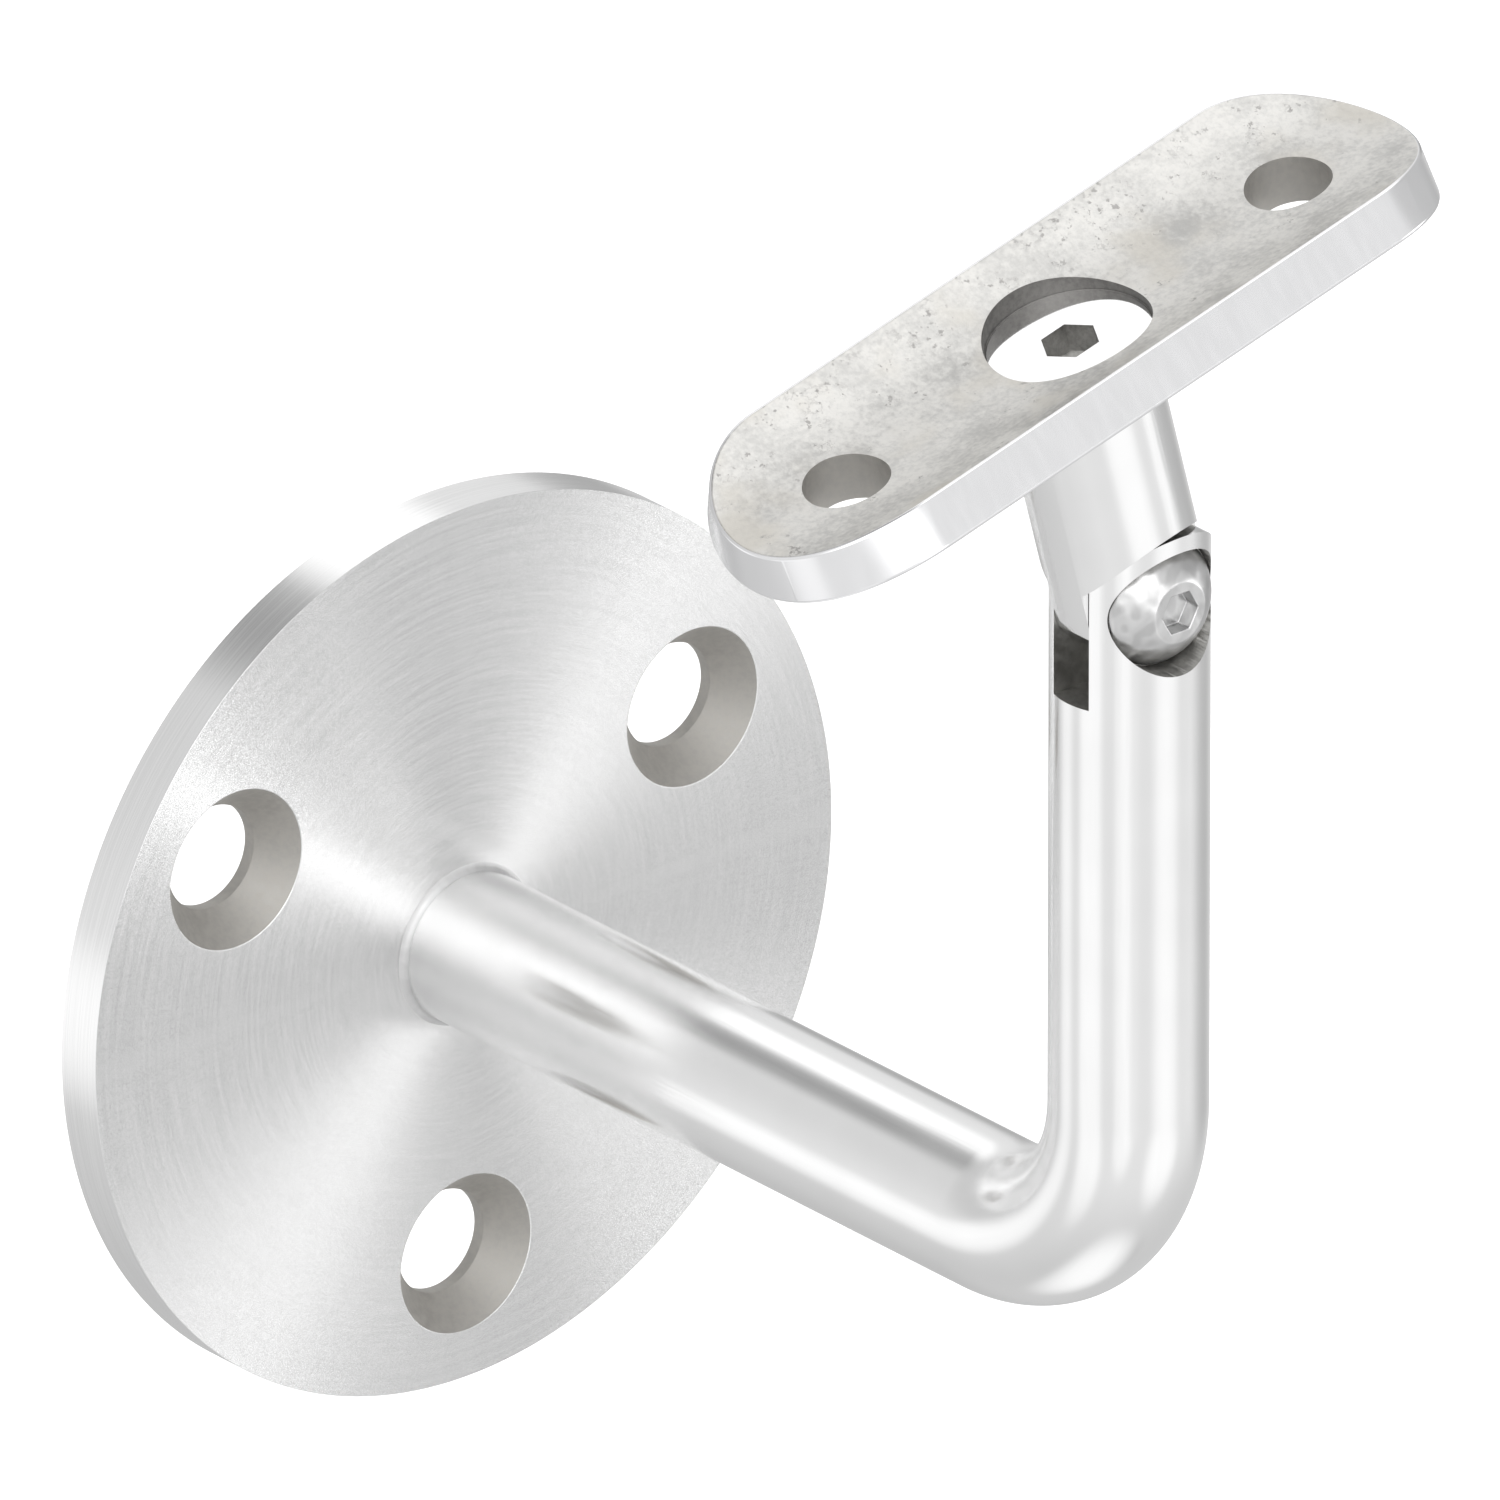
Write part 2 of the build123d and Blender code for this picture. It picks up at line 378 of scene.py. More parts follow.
def makeHingeScrew():
    size = hingeScrewSizes
    low, high = size["seat"] + size["rim"], size["top"]
    rise = high - low
    centre = (size["crownRadius"] ** 2 - size["headRadius"] ** 2 + rise ** 2) / (2 * rise)
    ball = sqrt(size["headRadius"] ** 2 + centre ** 2)
    shank, point = size["shankRadius"], size["point"]
    outline = [
        (shank - point, size["tip"]), (shank, size["tip"] + point),
        (shank, size["seat"]), (size["headRadius"], size["seat"]),
    ]
    steps = size["crownSteps"]
    for step in range(steps + 1):
        radius = size["headRadius"] + (size["crownRadius"] - size["headRadius"]) * step / steps
        outline.append((radius, low + centre + sqrt(ball ** 2 - radius ** 2)))
    screw = turned("hingeScrew", outline)
    hexSocket(screw, size["socketWidth"], size["socketDepth"], size["top"], drilled=False)
    softenEdges(screw, size["edge"], 3, 40)
    screw.data.transform(Matrix.Translation(pivot) @ Matrix.Rotation(pi / 2, 4, "Y"))
    return finishPiece(screw, "hinge_screw", "bracket")


# Hinge post, modelled upright over the hinge

postSizes = {
    "tongue": 3.9 * mm,
    "tongueTip": 4.7 * mm,
    "shoulderRadius": 6.62 * mm,
    "underRadius": 25.22 * mm,
    "pivotHole": 2.58 * mm,
    "screwHole": 3.02 * mm,
    "screwHoleBottom": 9.07 * mm,
    "edge": 0.12 * mm,
}
railRadius = 21.2 * mm


def makeHingePost():
    size = postSizes
    axisHeight = troughHeight + railRadius
    wide = 2 * barRadius
    post = rod("hingePost", (0, 0, -barRadius), (0, 0, troughHeight), barRadius, sides=192)
    combine(post, rod("rail", (0, -wide, axisHeight), (0, wide, axisHeight), size["underRadius"], sides=512))
    for side in (-1, 1):
        near, far = side * size["tongue"] / 2, side * wide
        combine(post, block("beside", (min(near, far), -wide, -wide), (max(near, far), wide, 0)))
        combine(post, rod("hollow", (near, 0, 0), (far, 0, 0), size["shoulderRadius"], sides=256))
    endCentre = barRadius - size["tongueTip"]
    past = block("past", (-wide, -wide, -wide), (wide, wide, endCentre))
    combine(past, rod("round", (-2 * wide, 0, endCentre), (2 * wide, 0, endCentre), barRadius, sides=192))
    combine(post, past)
    bore(post, [(size["pivotHole"], 0), (size["pivotHole"], 2 * wide)], (-wide, 0, 0), "X", 64)
    bore(post, [
        (size["screwHole"], size["screwHoleBottom"]), (size["screwHole"], troughHeight),
    ], (0, 0, 0), sides=64)
    softenEdges(post, size["edge"], 3)
    post.data.transform(headPlace)
    return finishPiece(post, "hinge_post", "head")


# Saddle plate, cut flat, bent to the rail and then drilled

saddleSizes = {
    "thickness": 4 * mm,
    "width": 20 * mm,
    "length": 64.5 * mm,
    "edge": 0.3 * mm,
    "strip": 0.5 * mm,
    "holeSpacing": 44.2 * mm,
    "wellRadius": 6.45 * mm,
    "wellBottom": 0.7 * mm,
    "screwHole": 3.1 * mm,
    "holeEdge": 0.1 * mm,
}


def makeSaddlePlate():
    size = saddleSizes
    half, ends = size["width"] / 2, (size["length"] - size["width"]) / 2
    bottom, top = troughHeight - size["thickness"], troughHeight
    plate = rod("saddlePlate", (0, 0, bottom), (0, 0, top), half, sides=254)  # no corner at y = 0
    for side in (-1, 1):
        for vertex in plate.data.vertices:
            vertex.select = vertex.co.y * side > 0
        for part in (*plate.data.edges, *plate.data.polygons):
            part.select = False
        bpy.ops.object.mode_set(mode="EDIT")
        bpy.ops.transform.translate(value=(0, side * ends, 0))
        bpy.ops.object.mode_set(mode="OBJECT")
    softenEdges(plate, size["edge"], 4, 60)
    bpy.ops.object.mode_set(mode="EDIT")
    strips = round(half / size["strip"])
    for number in range(1 - strips, strips):
        bpy.ops.mesh.select_all(action="SELECT")
        bpy.ops.mesh.bisect(plane_co=(number * size["strip"], 0, 0), plane_no=(1, 0, 0))
    bpy.ops.object.mode_set(mode="OBJECT")
    axisHeight = troughHeight + railRadius
    for vertex in plate.data.vertices:
        turn, reach = asin(vertex.co.x / railRadius), axisHeight - vertex.co.z
        vertex.co.x, vertex.co.z = reach * sin(turn), axisHeight - reach * cos(turn)
    holeRadius = mounts["upper_saddle_hole"]["dims"]["r_mm"] * mm
    deep = 2 * size["thickness"]
    for side in (-1, 1):
        y = side * size["holeSpacing"] / 2
        bore(plate, [(holeRadius, -deep), (holeRadius, deep)], (0, y, top), sides=96)
    well, hole = size["wellRadius"], size["screwHole"]
    bore(plate, [
        (hole, -deep), (hole, hole - well - size["wellBottom"]), (well, -size["wellBottom"]), (well, deep),
    ], (0, 0, top), sides=160)
    softenEdges(plate, size["holeEdge"], 2, 40)
    plate.data.transform(headPlace)
    return finishPiece(plate, "saddle_plate", "head")


# Saddle screw

saddleScrewSizes = {
    "depth": 0.73 * mm,
    "length": 12 * mm,
    "shankRadius": 3 * mm,
    "headRadius": 6.3 * mm,
    "headEdge": 0.1 * mm,
    "point": 0.6 * mm,
    "socketWidth": 4 * mm,
    "socketDepth": 2.4 * mm,
    "socketEdge": 0.05 * mm,
}


def makeSaddleScrew():
    size = saddleScrewSizes
    top = troughHeight - size["depth"]
    rim = top - size["headEdge"]
    neck = rim - size["headRadius"] + size["shankRadius"]
    tip = top - size["length"]
    screw = turned("saddleScrew", [
        (size["shankRadius"] - size["point"], tip), (size["shankRadius"], tip + size["point"]),
        (size["shankRadius"], neck), (size["headRadius"], rim), (size["headRadius"], top),
    ], sides=160)
    hexSocket(screw, size["socketWidth"], size["socketDepth"], top)
    softenEdges(screw, size["socketEdge"], 2, 40)
    screw.data.transform(headPlace)
    return finishPiece(screw, "saddle_screw", "head")


print("pieces")
wallPlate = makeWallPlate()
arm = makeArm()
frontWeld = makeFrontWeld()
backWeld = makeBackWeld()
hingeScrew = makeHingeScrew()
hingePost = makeHingePost()
saddlePlate = makeSaddlePlate()
saddleScrew = makeSaddleScrew()


# Shader maths

class Wire:
    def __init__(self, tree, socket):
        self.tree, self.socket = tree, socket

    def maths(self, operation, first, second):
        return nodeIn(self.tree, "Math", (first, second), operation=operation)

    def __add__(self, other):
        return self.maths("ADD", self, other)

    def __radd__(self, other):
        return self.maths("ADD", other, self)

    def __sub__(self, other):
        return self.maths("SUBTRACT", self, other)

    def __rsub__(self, other):
        return self.maths("SUBTRACT", other, self)

    def __mul__(self, other):
        return self.maths("MULTIPLY", self, other)

    def __rmul__(self, other):
        return self.maths("MULTIPLY", other, self)

    def __truediv__(self, other):
        return self.maths("DIVIDE", self, other)

    def __pow__(self, other):
        return self.maths("POWER", self, other)


def nodeIn(tree, kind, values=(), output=0, stops=None, **settings):
    node = tree.nodes.new(f"ShaderNode{kind}")
    for name, setting in settings.items():
        setattr(node, name, setting)
    if stops:
        ramp = node.color_ramp
        while len(ramp.elements) < len(stops):
            ramp.elements.new(1)
        for element, (place, colour) in zip(ramp.elements, stops):
            element.position, element.color = place, colour
    pairs = values.items() if isinstance(values, dict) else enumerate(values)
    for place, value in pairs:
        if isinstance(value, Wire):
            tree.links.new(value.socket, node.inputs[place])
        elif value is not None:
            node.inputs[place].default_value = value
    return Wire(tree, node.outputs[output])


# Finishes

usual = (0.3, 0.7)  # where most of a noise's values lie


def grey(tone):
    return tone, tone, tone


def metal(name, size):
    material = bpy.data.materials.new(name)
    material.use_nodes = True
    tree = material.node_tree
    surface = tree.nodes["Principled BSDF"]
    surface.inputs["Metallic"].default_value = 1
    surface.inputs["Base Color"].default_value = (*size["light"], 1)
    surface.inputs["Roughness"].default_value = size["roughness"][0]
    return material, tree, surface


def feed(tree, surface, **wires):
    for name, wire in wires.items():
        tree.links.new(wire.socket, surface.inputs[name.replace("_", " ")])


def objectPlace(tree):
    return nodeIn(tree, "TexCoord", output="Object")


def separate(vector):
    return [nodeIn(vector.tree, "SeparateXYZ", (vector,), output=axis) for axis in "XYZ"]


def join(tree, x, y, z):
    return nodeIn(tree, "CombineXYZ", (x, y, z))


def stretched(place, scales):
    return join(place.tree, *(part * scale for part, scale in zip(separate(place), scales)))


def noise(tree, vector, scale, detail=2, rough=0.5):
    return nodeIn(tree, "TexNoise", {"Vector": vector, "Scale": scale, "Detail": detail, "Roughness": rough})


def between(tree, value, low, high, start=0, end=1):
    # The value carried from one range to another, and held at its ends
    return nodeIn(tree, "MapRange", {
        "Value": value, "From Min": low, "From Max": high, "To Min": start, "To Max": end,
    }, interpolation_type="SMOOTHSTEP")


def tint(tree, share, first, second):
    first, second = (colour if isinstance(colour, Wire) else (*colour, 1) for colour in (first, second))
    return nodeIn(tree, "Mix", {"Factor": share, "A": first, "B": second}, output="Result", data_type="RGBA")


def bumped(tree, height, depth):
    return nodeIn(tree, "Bump", {"Height": height, "Distance": depth}, output="Normal")


def coat(tree, surface, size, tone, polish, relief, toneRange=usual):
    # Lets one pattern choose the colour, one the roughness and one the height
    feed(tree, surface, Base_Color=tint(tree, between(tree, tone, *toneRange), size["dark"], size["light"]),
         Roughness=between(tree, polish, *usual, *size["roughness"]),
         Normal=bumped(tree, relief, size["depth"]))


brushedSizes = {
    "light": grey(0.72),
    "dark": grey(0.69),
    "ringRange": (0.25, 0.75),
    "roughness": (0.19, 0.25),
    "grooves": 1 / (0.011 * mm),
    "rings": 1 / (0.3 * mm),
    "turns": 3,
    "grain": 400,
    "slope": 4.6,
    "ringSlope": 0.12,
}


def makeBrushedFace():
    # Brushed in rings, so each groove leans towards or away from the middle
    size = brushedSizes
    material, tree, surface = metal("brushedFace", size)
    x, y, z = separate(objectPlace(tree))
    radius = (y * y + z * z) ** 0.5
    outY, outZ = y / radius, z / radius
    turns, grain = size["turns"], size["grain"]
    fine = noise(tree, join(tree, radius * size["grooves"], outY * grain, outZ * grain), 1, 1)
    ring = noise(tree, join(tree, radius * size["rings"], outY * turns, outZ * turns), 1, 3)
    slope = (fine - 0.5) * size["slope"] + (ring - 0.5) * size["ringSlope"]
    facing = nodeIn(tree, "NewGeometry", output="Normal")
    leaning = nodeIn(tree, "VectorMath", {0: join(tree, 0, outY, outZ), "Scale": slope}, operation="SCALE")
    together = nodeIn(tree, "VectorMath", (facing, leaning), operation="ADD")
    feed(tree, surface, Base_Color=tint(tree, between(tree, ring, *usual), size["dark"], size["light"]),
         Roughness=between(tree, ring, *size["ringRange"], *size["roughness"]),
         Normal=nodeIn(tree, "VectorMath", (together,), operation="NORMALIZE"))
    return material


barSizes = {
    "light": grey(0.90),
    "dark": grey(0.87),
    "lines": (1 / (0.12 * mm), 1 / (0.12 * mm), 1 / (6 * mm)),
    "lineRange": (0.3, 0.75),
    "lineDepth": 0.0006 * mm,
    "cloud": 1 / (9 * mm),
    "roughness": (0.12, 0.19),
    "dull": 0.08,
    "hollow": (9.5 * mm, 14 * mm),
    "root": (22 * mm, 40 * mm),
}


def polishedBar(name, aroundAlong):
    # Polished lengthwise, with hair lines that follow the bar
    size = barSizes
    material, tree, surface = metal(name, size)
    place = aroundAlong(tree)
    lines = noise(tree, stretched(place, size["lines"]), 1, 3, 0.6)
    cloud = noise(tree, place, size["cloud"], 2)
    # Duller in the bend's hollow side, which the belt doesn't reach, and near the plate's seam
    fromWall, _, upright = separate(objectPlace(tree))
    bend = armSizes["bendRadius"]
    fromBend = ((fromWall - (pivot.x - bend)) ** 2 + (upright - bend) ** 2) ** 0.5
    dull = between(tree, fromWall, *size["root"], size["dull"], 0)
    dull = dull + between(tree, fromBend, *size["hollow"], size["dull"], 0)
    feed(tree, surface, Base_Color=tint(tree, between(tree, cloud, *usual), size["dark"], size["light"]),
         Roughness=between(tree, lines, *size["lineRange"], *size["roughness"]) + dull,
         Normal=bumped(tree, lines, size["lineDepth"]))
    return material


def alongBar(tree):
    return nodeIn(tree, "Attribute", output="Vector", attribute_name="barPlace")


def alongPost(tree):
    return nodeIn(tree, "Mapping", {
        "Vector": objectPlace(tree), "Location": tuple(pivot), "Rotation": (postLean, 0, 0),
    }, vector_type="TEXTURE")


cutSizes = {
    "machinedHole": {
        "light": (0.555, 0.55, 0.53),
        "dark": (0.445, 0.44, 0.425),
        "grain": 1 / (0.7 * mm),
        "roughness": (0.36, 0.50),
    },
    "drilledHole": {
        "light": (0.475, 0.46, 0.435),
        "dark": (0.405, 0.395, 0.375),
        "grain": 1 / (0.5 * mm),
        "roughness": (0.56, 0.70),
    },
    # Painted shade: the well's wall is coloured far darker than bare steel, standing in for the shade inside the
    # sunk well
    "sunkWell": {
        "light": (0.24, 0.235, 0.225),
        "dark": (0.17, 0.165, 0.16),
        "grain": 1 / (0.5 * mm),
        "roughness": (0.44, 0.58),
    },
    # Painted shade: the socket's walls are coloured darker than the screw's head, standing in for the shade in the
    # socket; the grain and roughness are the punch's
    "punchedSocket": {
        "light": (0.62, 0.615, 0.60),
        "dark": (0.46, 0.455, 0.445),
        "grain": 1 / (0.4 * mm),
        "roughness": (0.28, 0.42),
    },
}
toolMarks = {"scale": 1 / (0.12 * mm), "depth": 0.006 * mm, "toneRange": (0.32, 0.68)}


def makeCut(name):
    # As the cutter, the drill or the punch leaves it, with painted shade in the well's and the socket's colours
    size = dict(cutSizes[name], depth=toolMarks["depth"])
    material, tree, surface = metal(name, size)
    place, grain = objectPlace(tree), size["grain"]
    cloud = noise(tree, place, grain, 4, 0.65)
    marks = noise(tree, stretched(place, (toolMarks["scale"], grain, grain)), 1, 2)
    coat(tree, surface, size, cloud, cloud, marks, toolMarks["toneRange"])
    return material


turnedSizes = {
    "light": grey(0.89),
    "dark": grey(0.83),
    "roughness": (0.1, 0.18),
    "depth": 0.0012 * mm,
    "lines": (1 / (0.1 * mm), 1 / (14 * mm), 1 / (14 * mm)),
}


def makeTurnedEdge():
    # The plate's turned edge, its fine lines running round it
    size = turnedSizes
    material, tree, surface = metal("turnedEdge", size)
    lines = noise(tree, stretched(objectPlace(tree), size["lines"]), 1, 2)
    coat(tree, surface, size, lines, lines, lines)
    return material


sheetSizes = {
    "light": (0.775, 0.765, 0.74),
    "dark": (0.53, 0.525, 0.51),
    "warm": (0.66, 0.63, 0.57),
    "speck": (0.38, 0.37, 0.36),
    "cloud": 1 / (5 * mm),
    "grain": 1 / (0.5 * mm),
    "cloudShare": 0.55,
    "toneRange": (0.34, 0.62),
    "grainRange": (0.35, 0.65),
    "roughness": (0.34, 0.5),
    "depth": 0.012 * mm,
    "markDepth": -0.6,
    "stain": 1 / (8 * mm),
    "stainPlace": (0.03, 0.01, 0),
    "stainRange": (0.52, 0.72),
    "stainShare": 0.6,
    "curl": 1 / (1.9 * mm),
    "wander": 1 / (0.45 * mm),
    "wanderShare": 0.8,
    "curlInside": (0.62, 0.66),
    "curlOutside": (0.75, 0.69),
    "curlShare": 0.35,
    "blot": 1 / (0.6 * mm),
    "blotRange": (0.59, 0.65),
    "blotShare": 0.9,
    "patch": 1 / (2.6 * mm),
    "patchRange": (0.58, 0.7),
    "edgeRange": (-1 * mm, -9 * mm),
    "edgeShare": 0.15,
}


def makePickled():
    # Rolled and pickled sheet: cloudy, grainy, with small dark scale marks near one long edge
    size = sheetSizes
    material, tree, surface = metal("pickledSheet", size)
    place = alongPost(tree)
    cloud = noise(tree, place, size["cloud"], 4, 0.6)
    grain = noise(tree, place, size["grain"], 3, 0.6)
    tone = cloud * size["cloudShare"] + grain * (1 - size["cloudShare"])
    base = tint(tree, between(tree, tone, *size["toneRange"]), size["dark"], size["light"])
    elsewhere = nodeIn(tree, "VectorMath", (place, size["stainPlace"]), operation="ADD")
    stain = noise(tree, elsewhere, size["stain"], 3)
    base = tint(tree, between(tree, stain, *size["stainRange"], 0, size["stainShare"]), base, size["warm"])
    cells = nodeIn(tree, "TexVoronoi", {"Vector": place, "Scale": size["curl"]}, output="Distance")
    cells = cells + noise(tree, place, size["wander"], 3, 0.7) * size["wanderShare"]
    curl = between(tree, cells, *size["curlInside"]) * between(tree, cells, *size["curlOutside"])
    blot = between(tree, noise(tree, place, size["blot"], 3, 0.65), *size["blotRange"])
    patch = noise(tree, place, size["patch"], 2)
    edgeward = between(tree, separate(place)[0], *size["edgeRange"], 0, size["edgeShare"])
    marks = curl * size["curlShare"] + blot * size["blotShare"]
    marks = marks * between(tree, patch + edgeward, *size["patchRange"])
    feed(tree, surface, Base_Color=tint(tree, marks, base, size["speck"]),
         Roughness=between(tree, grain * 0.5 + cloud * 0.5, *size["grainRange"], *size["roughness"]),
         Normal=bumped(tree, grain + marks * size["markDepth"], size["depth"]))
    return material


bandSizes = {
    "light": (0.87, 0.87, 0.88),
    "dark": (0.85, 0.85, 0.86),
    "roughness": (0.15, 0.18),
    "depth": 0.00012 * mm,
    "lines": (1 / (2 * mm), 1 / (0.8 * mm), 1 / (6 * mm)),
}


def makePolishedBand():
    # The sawn and polished sides of the bar, with marks across its thickness
    size = bandSizes
    material, tree, surface = metal("polishedBand", size)
    lines = noise(tree, stretched(alongPost(tree), size["lines"]), 1, 3)
    coat(tree, surface, size, lines, lines, lines)
    return material


headSizes = {
    "forgedHead": {"light": grey(0.64), "dark": grey(0.54), "roughness": (0.29, 0.348), "depth": 0.12 * mm},
    "turnedHead": {"light": grey(0.90), "dark": grey(0.86), "roughness": (0.06, 0.072), "depth": 0.001 * mm},
}
dimples = {"lumps": 1 / (1.1 * mm), "fine": 1 / (0.25 * mm), "toneRange": (0.35, 0.6)}


def makeHead(name):
    # Bright, with shallow dimples where it was cold formed
    size = headSizes[name]
    material, tree, surface = metal(name, size)
    place = objectPlace(tree)
    lumps = noise(tree, place, dimples["lumps"], 0)
    fine = noise(tree, place, dimples["fine"], 2)
    coat(tree, surface, size, lumps, fine, lumps, dimples["toneRange"])
    return material


seamSizes = {
    "weldSeam": {"light": grey(0.64), "dark": grey(0.59), "roughness": (0.42, 0.56), "depth": 0.004 * mm},
    "weldBead": {
        "light": (0.62, 0.60, 0.57), "dark": (0.42, 0.40, 0.38), "roughness": (0.2, 0.34), "depth": 0.06 * mm,
    },
}
ripples = {"across": 1 / (1 * mm), "round": 9, "toneRange": (0.35, 0.65)}


def makeWeld(name):
    # Ripples run round the arm as the torch left them
    size = seamSizes[name]
    material, tree, surface = metal(name, size)
    x, y, z = separate(objectPlace(tree))
    radius = (y * y + z * z) ** 0.5
    turn = ripples["round"]
    steps = noise(tree, join(tree, x * ripples["across"], y / radius * turn, z / radius * turn), 1, 3)
    coat(tree, surface, size, steps, steps, steps, ripples["toneRange"])
    return material


brushed = makeBrushedFace()
turnedEdge = makeTurnedEdge()
barFinish = polishedBar("polishedBar", alongBar)
postFinish = polishedBar("polishedPost", alongPost)
pickled = makePickled()
band = makePolishedBand()
machined, drilled, sunk, socketWall = (makeCut(name) for name in cutSizes)
forged, screwFace = (makeHead(name) for name in headSizes)
weldSeam, weldBead = (makeWeld(name) for name in seamSizes)


def dress(piece, finish, *others):
    # The first finish covers the piece, and each other one the faces that its test picks
    piece.data.materials.clear()
    piece.data.materials.append(finish)
    for number, (other, picks) in enumerate(others, 1):
        piece.data.materials.append(other)
        for face in piece.data.polygons:
            if picks(face.center, face.normal):
                face.material_index = number


holePlaces = wallHolePlaces()
overHead = headPlace.inverted()
slight = 0.03 * mm
facings = {"flat": 0.9, "round": 0.3, "upward": 0.05, "rolled": 0.93}
crownRise = 1.5 * mm


def inWallHole(centre, normal):
    flatPlace, reach = Vector((0, centre.y, centre.z)), plateSizes["sinkRadius"] - slight
    near = any((flatPlace - place).length < reach for place in holePlaces)
    return abs(normal.x) < facings["flat"] and near


def onPlateEdge(centre, normal):
    return hypot(centre.y, centre.z) > plateRadius - slight / 2 and abs(normal.x) < facings["round"]


def onCrown(centre, normal):
    return centre.z > pivot.z + crownRise and normal.z > facings["upward"]


def onBarEnd(centre, normal):
    # Faced off together with the plate's back
    return centre.x < slight and normal.x < -facings["flat"]


def inFork(centre, normal):
    # The slot's walls and floor, the screw's pocket and the holes
    place, half = centre - pivot, armSizes["slotWidth"] / 2
    fromPin = hypot(place.y, place.z)
    slot = abs(place.x) < half + slight and place.z > -armSizes["slotDepth"] - slight
    pocket = place.x > half and fromPin < armSizes["pocketRadius"] + slight
    hole = fromPin < armSizes["tappedHole"] + slight
    return slot or pocket or hole


def inShoulder(centre, normal):
    # The hollows that clear the fork's ears
    place = overHead @ centre
    beside = abs(place.x) > postSizes["tongue"] / 2 - slight
    return beside and abs(hypot(place.y, place.z) - postSizes["shoulderRadius"]) < slight


def saddlePart(centre, normal):
    # The rolled faces look straight at the rail's middle line or away from it
    place, facing = overHead @ centre, overHead.to_3x3() @ normal
    inward = Vector((-place.x, 0, troughHeight + railRadius - place.z)).normalized()
    if abs(inward.dot(facing)) > facings["rolled"]:
        return "sheet"
    if hypot(place.x, place.y) < saddleSizes["wellRadius"] + slight:
        return "well"
    hole = mounts["upper_saddle_hole"]["dims"]["r_mm"] * mm + 2 * saddleSizes["holeEdge"]
    nearest = min(hypot(place.x, place.y - side * saddleSizes["holeSpacing"] / 2) for side in (-1, 1))
    return "hole" if nearest < hole else "band"


def inSaddleSocket(centre, normal):
    size, place = saddleScrewSizes, overHead @ centre
    below = troughHeight - size["depth"] - place.z
    corner = size["socketWidth"] / 2 / cos(radians(30))
    return hypot(place.x, place.y) < corner + slight and size["socketEdge"] < below < 2 * size["socketDepth"]


def onSaddle(part):
    return lambda centre, normal: saddlePart(centre, normal) == part


dress(wallPlate, brushed, (turnedEdge, onPlateEdge), (drilled, inWallHole))
dress(arm, barFinish, (screwFace, onCrown), (machined, inFork), (brushed, onBarEnd))
dress(frontWeld, weldSeam)
dress(backWeld, weldBead)
dress(hingeScrew, forged)
dress(hingePost, postFinish, (machined, inShoulder))
# The well's faces take the dark colour of painted shade
dress(saddlePlate, pickled, (band, onSaddle("band")), (drilled, onSaddle("hole")), (sunk, onSaddle("well")))
# The socket's walls take the darker colour of painted shade
dress(saddleScrew, screwFace, (socketWall, inSaddleSocket))
for node in frame["nodes"].values():
    node.data.materials.clear()
    node.data.materials.append(turnedEdge)
print("finishes made")


# Light

studio = {
    "level": 0.86,
    "boxes": [
        {"toward": (-0.69, 0.34, 0.63), "inner": 7, "outer": 17, "light": 0.39},
        {"toward": (-0.75, -0.59, -0.28), "inner": 3, "outer": 18, "light": 0.31},
        {"toward": (-0.12, -0.86, -0.49), "inner": 10, "outer": 20, "light": 0.24},
        {"toward": (0.56, -0.65, -0.51), "inner": 4, "outer": 15, "light": 0.21},
        {"toward": (0.77, 0.19, -0.61), "inner": 9, "outer": 25, "light": 0.26},
        {"toward": (0.57, 0.82, -0.07), "inner": 9, "outer": 20, "light": 1.01},
        {"toward": (0.44, 0.89, -0.09), "inner": 7, "outer": 17, "light": 1.05},
        {"toward": (0.99, 0.14, 0.04), "inner": 11, "outer": 20, "light": 1.72},
        {"toward": (-0.04, -0.03, -1.00), "inner": 4, "outer": 26, "light": 0.46},
        {"toward": (0.00, 0.98, 0.17), "inner": 29, "outer": 47, "light": -0.27},
        {"toward": (-0.50, -0.08, 0.86), "inner": 5, "outer": 24, "light": -0.54},
        {"toward": (-0.44, 0.22, -0.87), "inner": 22, "outer": 75, "light": -0.21},
        {"toward": (-0.62, 0.78, -0.07), "inner": 3, "outer": 16, "light": -0.32},
        {"toward": (0.05, 0.27, -0.96), "inner": 2, "outer": 12, "light": -0.06},
        {"toward": (0.73, -0.57, -0.37), "inner": 4, "outer": 15, "light": 0.07},
        {"toward": (-0.14, 0.38, 0.92), "inner": 11, "outer": 21, "light": 0.92},
        {"toward": (-0.88, 0.27, -0.38), "inner": 10, "outer": 37, "light": -0.10},
        {"toward": (-0.96, -0.19, 0.22), "inner": 20, "outer": 38, "light": -0.21},
        {"toward": (0.56, -0.58, 0.60), "inner": 25, "outer": 47, "light": 0.90},
        {"toward": (0.73, -0.43, 0.54), "inner": 9, "outer": 28, "light": 0.71},
    ],
}


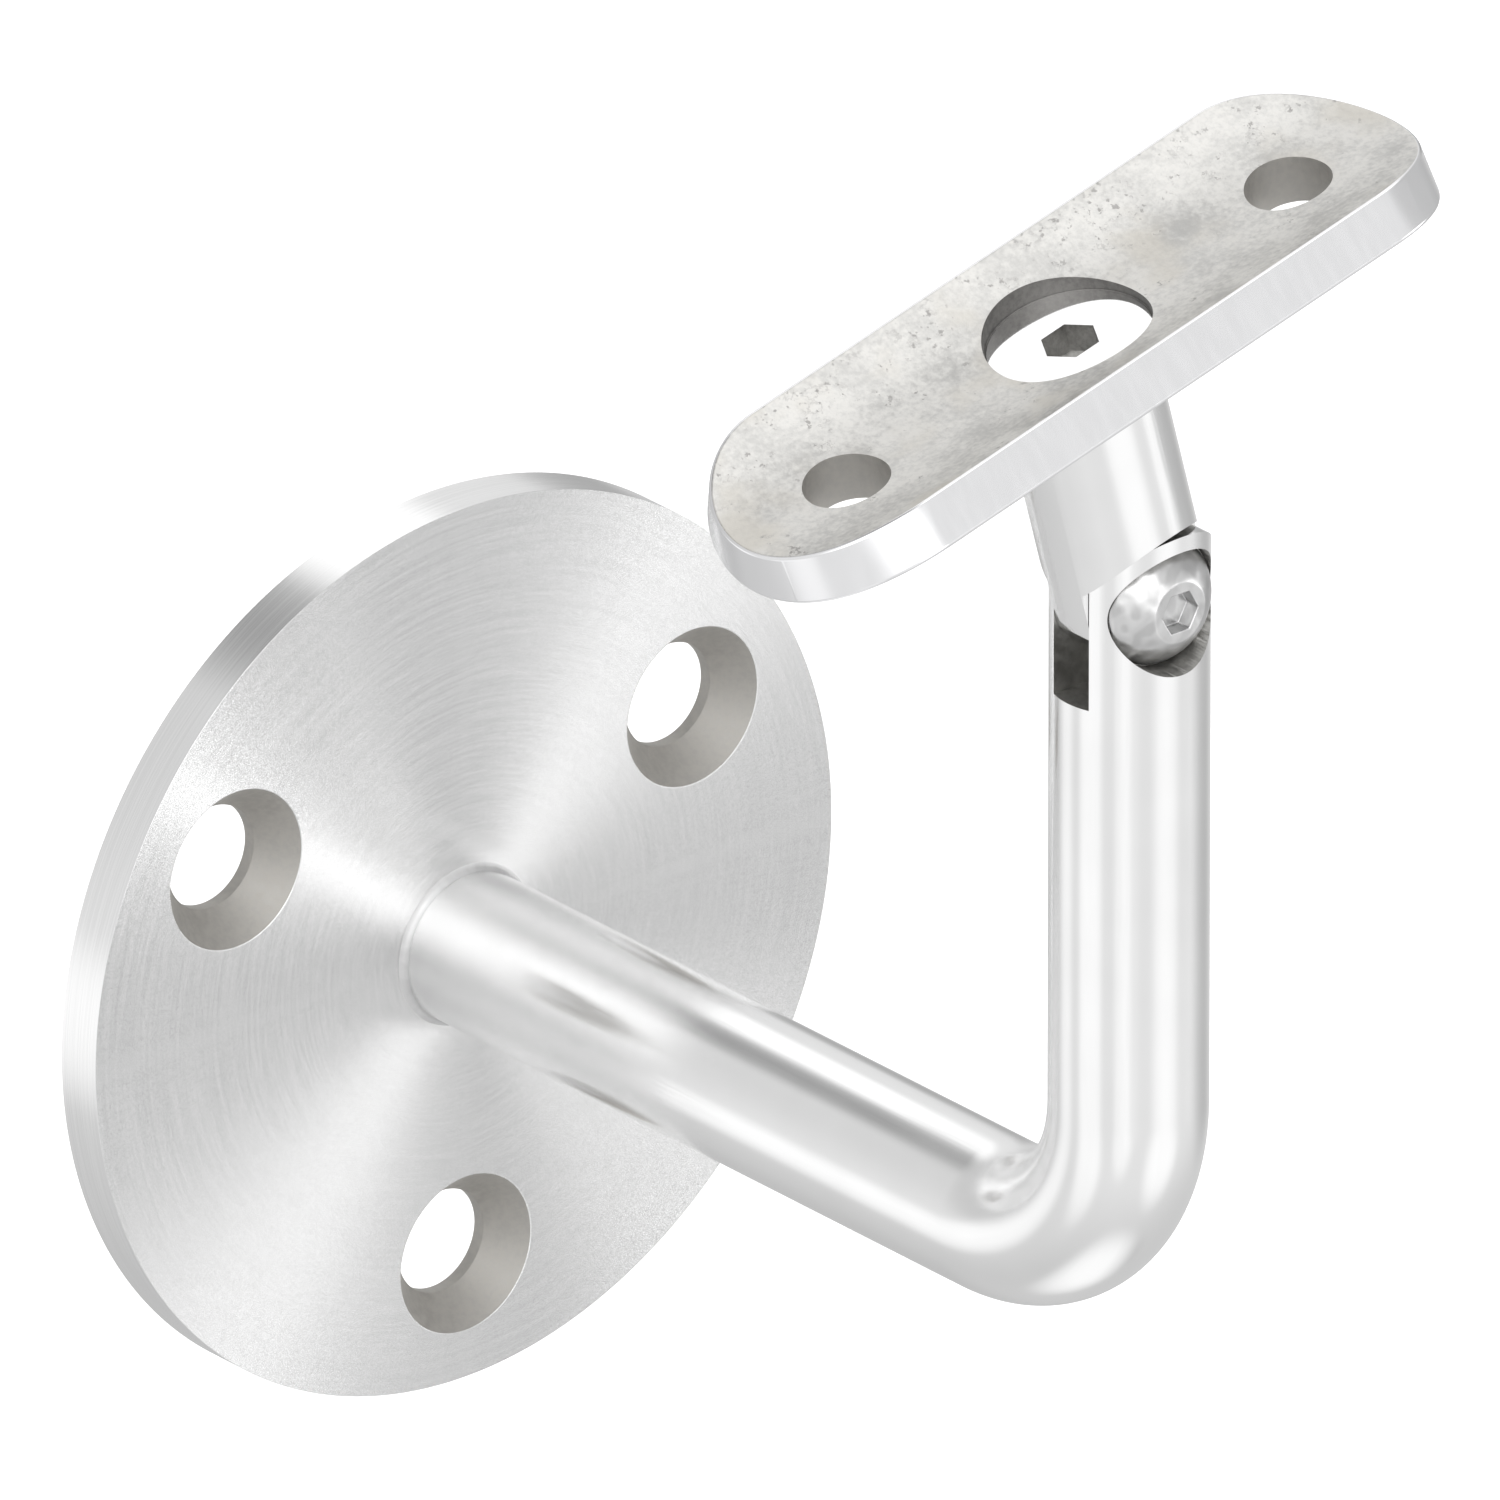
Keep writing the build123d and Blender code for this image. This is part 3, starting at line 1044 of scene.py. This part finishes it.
def lightStudio():
    world = bpy.data.worlds.new("studio")
    bpy.context.scene.world = world
    world.use_nodes = True
    tree = world.node_tree
    toward = nodeIn(tree, "TexCoord", output="Generated")
    level = studio["level"]
    for box in studio["boxes"]:
        direction = tuple(Vector(box["toward"]).normalized())
        aligned = nodeIn(tree, "VectorMath", (toward, direction), output="Value", operation="DOT_PRODUCT")
        shine = between(tree, aligned, cos(radians(box["outer"])), cos(radians(box["inner"])))
        level = shine * box["light"] + level
    seen = nodeIn(tree, "LightPath", output="Is Camera Ray")
    strength = level * (1 - seen) + seen
    background = tree.nodes["Background"]
    background.inputs["Color"].default_value = (1, 1, 1, 1)
    tree.links.new(strength.socket, background.inputs["Strength"])
    print("studio lit")


lightStudio()


# Floor

floorSizes = {
    "drop": 0.25,
    "width": 6.0,
    "colour": (0.9, 0.9, 0.9, 1),
    "roughness": 0.9,
    "glow": 0.3,
}


def makeFloor():
    size = floorSizes
    floor = primitive("plane", "floor", size=size["width"], location=(0, 0, cadLow.z - size["drop"]))
    material = bpy.data.materials.new("paleFloor")
    material.use_nodes = True
    surface = material.node_tree.nodes["Principled BSDF"]
    surface.inputs["Base Color"].default_value = size["colour"]
    surface.inputs["Roughness"].default_value = size["roughness"]
    surface.inputs["Emission Strength"].default_value = 1
    seen = nodeIn(material.node_tree, "LightPath", output="Is Camera Ray")
    feed(material.node_tree, surface, Emission_Color=seen * size["glow"])
    floor.data.materials.append(material)
    floor.visible_glossy = False
    return floor


makeFloor()


# Camera

cameraSizes = {
    "azimuth": 49.84,
    "elevation": 25.06,
    "lens": 1600,
    "sensor": 36,
    "width": 111.6 * mm,
    "aim": (41.1 * mm, -3.36 * mm, 30.31 * mm),
}


def placeCamera():
    size = cameraSizes
    azimuth, elevation = radians(size["azimuth"]), radians(size["elevation"])
    back = Vector((sin(azimuth) * cos(elevation), -cos(azimuth) * cos(elevation), sin(elevation)))
    distance = size["width"] * size["lens"] / size["sensor"]
    bpy.ops.object.camera_add(location=Vector(size["aim"]) + back * distance)
    camera = bpy.context.object
    camera.rotation_euler = (-back).to_track_quat("-Z", "Y").to_euler()
    camera.data.lens, camera.data.sensor_width = size["lens"], size["sensor"]
    camera.data.clip_start, camera.data.clip_end = distance / 2, distance * 2
    bpy.context.scene.camera = camera


placeCamera()
bpy.context.scene.view_settings.view_transform = "Standard"
